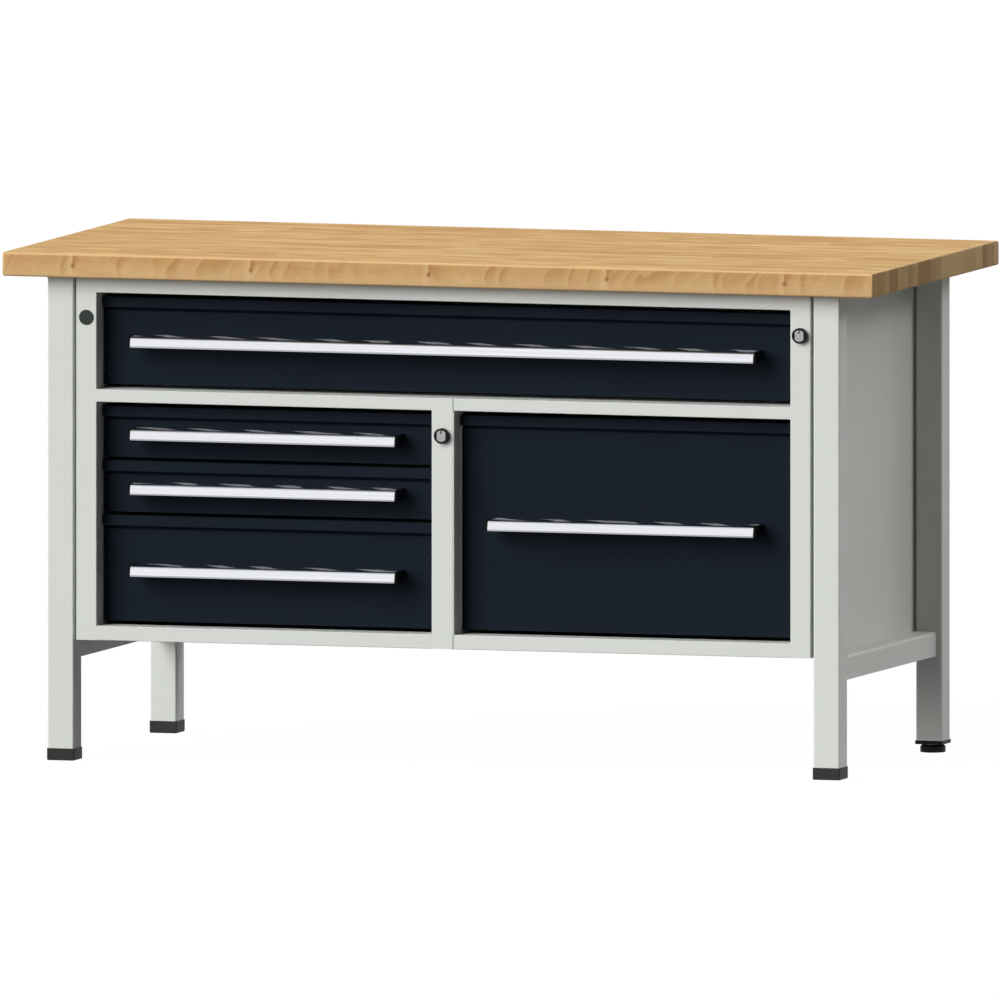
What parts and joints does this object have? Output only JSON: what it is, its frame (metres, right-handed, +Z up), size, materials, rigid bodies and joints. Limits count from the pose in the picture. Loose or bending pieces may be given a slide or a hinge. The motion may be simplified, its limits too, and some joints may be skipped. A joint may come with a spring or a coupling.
{
  "type": "workbench",
  "caption": "Workbench with a glued beech top on a square tube steel frame, and a sheet steel cabinet of lockable full-extension drawers with bar handles.",
  "frame": {"origin": "on the floor under the middle of the worktop", "axes": "+X to the right seen from the front, along the worktop; +Y to the back; +Z up"},
  "size_m": [1.5, 0.7, 0.84],
  "materials": {
    "beech": "oiled, fine staves",
    "frame_paint": "fine powder coat",
    "cabinet_paint": "fine powder coat",
    "front_paint": "satin powder coat",
    "tray_paint": "fine powder coat",
    "handle_aluminium": "bright anodised",
    "cap_plastic": "fine spark eroded",
    "foot_plastic": "moulded",
    "zinc_steel": "zinc plated",
    "lock_plastic": "moulded",
    "lock_chrome": "satin nickel"
  },
  "bodies": {
    "bench": {"back_panel": "cabinet_paint", "blanking_plug": "lock_plastic", "cabinet_runners": "zinc_steel", "centre_wall_left": "cabinet_paint", "centre_wall_right": "cabinet_paint", "floor_left": "cabinet_paint", "floor_right": "cabinet_paint", "foot_caps": "foot_plastic", "frame_screws": "zinc_steel", "leg_front_left": "frame_paint", "leg_front_right": "frame_paint", "leg_rear_left": "frame_paint", "leg_rear_right": "frame_paint", "leveller_insert": "foot_plastic", "lock_collars": "lock_plastic", "rear_rail": "frame_paint", "runner_uprights": "zinc_steel", "shelf_left": "cabinet_paint", "shelf_right": "cabinet_paint", "side_panel_left": "cabinet_paint", "side_panel_right": "cabinet_paint", "side_rails": "frame_paint", "top_bars": "frame_paint", "top_rail": "cabinet_paint", "worktop": "beech"},
    "wide_drawer": {"wide_drawer_front": "front_paint", "wide_drawer_tray": "tray_paint", "wide_drawer_handle": "handle_aluminium", "wide_drawer_handle_caps": "cap_plastic", "wide_drawer_inner_runners": "zinc_steel"},
    "wide_runner_middle": {"wide_drawer_middle_runners": "zinc_steel"},
    "upper_drawer": {"upper_drawer_front": "front_paint", "upper_drawer_tray": "tray_paint", "upper_drawer_handle": "handle_aluminium", "upper_drawer_handle_caps": "cap_plastic", "upper_drawer_inner_runners": "zinc_steel"},
    "upper_runner_middle": {"upper_drawer_middle_runners": "zinc_steel"},
    "middle_drawer": {"middle_drawer_front": "front_paint", "middle_drawer_tray": "tray_paint", "middle_drawer_handle": "handle_aluminium", "middle_drawer_handle_caps": "cap_plastic", "middle_drawer_inner_runners": "zinc_steel"},
    "middle_runner_middle": {"middle_drawer_middle_runners": "zinc_steel"},
    "lower_drawer": {"lower_drawer_front": "front_paint", "lower_drawer_tray": "tray_paint", "lower_drawer_handle": "handle_aluminium", "lower_drawer_handle_caps": "cap_plastic", "lower_drawer_inner_runners": "zinc_steel"},
    "lower_runner_middle": {"lower_drawer_middle_runners": "zinc_steel"},
    "deep_drawer": {"deep_drawer_front": "front_paint", "deep_drawer_tray": "tray_paint", "deep_drawer_handle": "handle_aluminium", "deep_drawer_handle_caps": "cap_plastic", "deep_drawer_inner_runners": "zinc_steel"},
    "deep_runner_middle": {"deep_drawer_middle_runners": "zinc_steel"},
    "leveller_foot": {"leveller_glide": "foot_plastic"},
    "leveller_screw": {"leveller_spindle": "zinc_steel"},
    "lock_centre": {"lock_barrel_centre": "lock_chrome"},
    "lock_right": {"lock_barrel_right": "lock_chrome"},
    "locking_bar": {"lock_bar": "zinc_steel"}
  },
  "joints": [
    {"name": "wide_drawer_slide", "type": "slide", "parent": "bench", "child": "wide_drawer", "axis": [0, -1, 0], "range_m": [0, 0.5]},
    {"name": "wide_runner_middle_slide", "type": "slide", "parent": "bench", "child": "wide_runner_middle", "axis": [0, -1, 0], "range_m": [0, 0.25]},
    {"name": "upper_drawer_slide", "type": "slide", "parent": "bench", "child": "upper_drawer", "axis": [0, -1, 0], "range_m": [0, 0.5]},
    {"name": "upper_runner_middle_slide", "type": "slide", "parent": "bench", "child": "upper_runner_middle", "axis": [0, -1, 0], "range_m": [0, 0.25]},
    {"name": "middle_drawer_slide", "type": "slide", "parent": "bench", "child": "middle_drawer", "axis": [0, -1, 0], "range_m": [0, 0.5]},
    {"name": "middle_runner_middle_slide", "type": "slide", "parent": "bench", "child": "middle_runner_middle", "axis": [0, -1, 0], "range_m": [0, 0.25]},
    {"name": "lower_drawer_slide", "type": "slide", "parent": "bench", "child": "lower_drawer", "axis": [0, -1, 0], "range_m": [0, 0.5]},
    {"name": "lower_runner_middle_slide", "type": "slide", "parent": "bench", "child": "lower_runner_middle", "axis": [0, -1, 0], "range_m": [0, 0.25]},
    {"name": "deep_drawer_slide", "type": "slide", "parent": "bench", "child": "deep_drawer", "axis": [0, -1, 0], "range_m": [0, 0.5]},
    {"name": "deep_runner_middle_slide", "type": "slide", "parent": "bench", "child": "deep_runner_middle", "axis": [0, -1, 0], "range_m": [0, 0.25]},
    {"name": "lock_centre_turn", "type": "hinge", "parent": "bench", "child": "lock_centre", "pos_m": [-0.0017, -0.3165, 0.5521], "axis": [0, 1, 0], "range_deg": [0, 90]},
    {"name": "lock_right_turn", "type": "hinge", "parent": "bench", "child": "lock_right", "pos_m": [0.615, -0.3165, 0.7325], "axis": [0, 1, 0], "range_deg": [0, 90]},
    {"name": "locking_bar_lift", "type": "slide", "parent": "bench", "child": "locking_bar", "axis": [0, 0, 1], "range_m": [0, 0.01]},
    {"name": "leveller_travel", "type": "slide", "parent": "bench", "child": "leveller_foot", "axis": [0, 0, -1], "range_m": [0, 0.015]},
    {"name": "leveller_turn", "type": "hinge", "parent": "leveller_foot", "child": "leveller_screw", "pos_m": [0.6595, 0.274, 0.0125], "axis": [0, 0, -1], "range_deg": [0, 3600]}
  ],
  "couplings": [
    {"joint": "wide_runner_middle_slide", "follows": "wide_drawer_slide", "ratio": 0.5},
    {"joint": "upper_runner_middle_slide", "follows": "upper_drawer_slide", "ratio": 0.5},
    {"joint": "middle_runner_middle_slide", "follows": "middle_drawer_slide", "ratio": 0.5},
    {"joint": "lower_runner_middle_slide", "follows": "lower_drawer_slide", "ratio": 0.5},
    {"joint": "deep_runner_middle_slide", "follows": "deep_drawer_slide", "ratio": 0.5},
    {"joint": "lock_centre_turn", "follows": "locking_bar_lift", "rad_per_m": 157.08},
    {"joint": "leveller_turn", "follows": "leveller_travel", "rad_per_m": 4188.8}
  ]
}
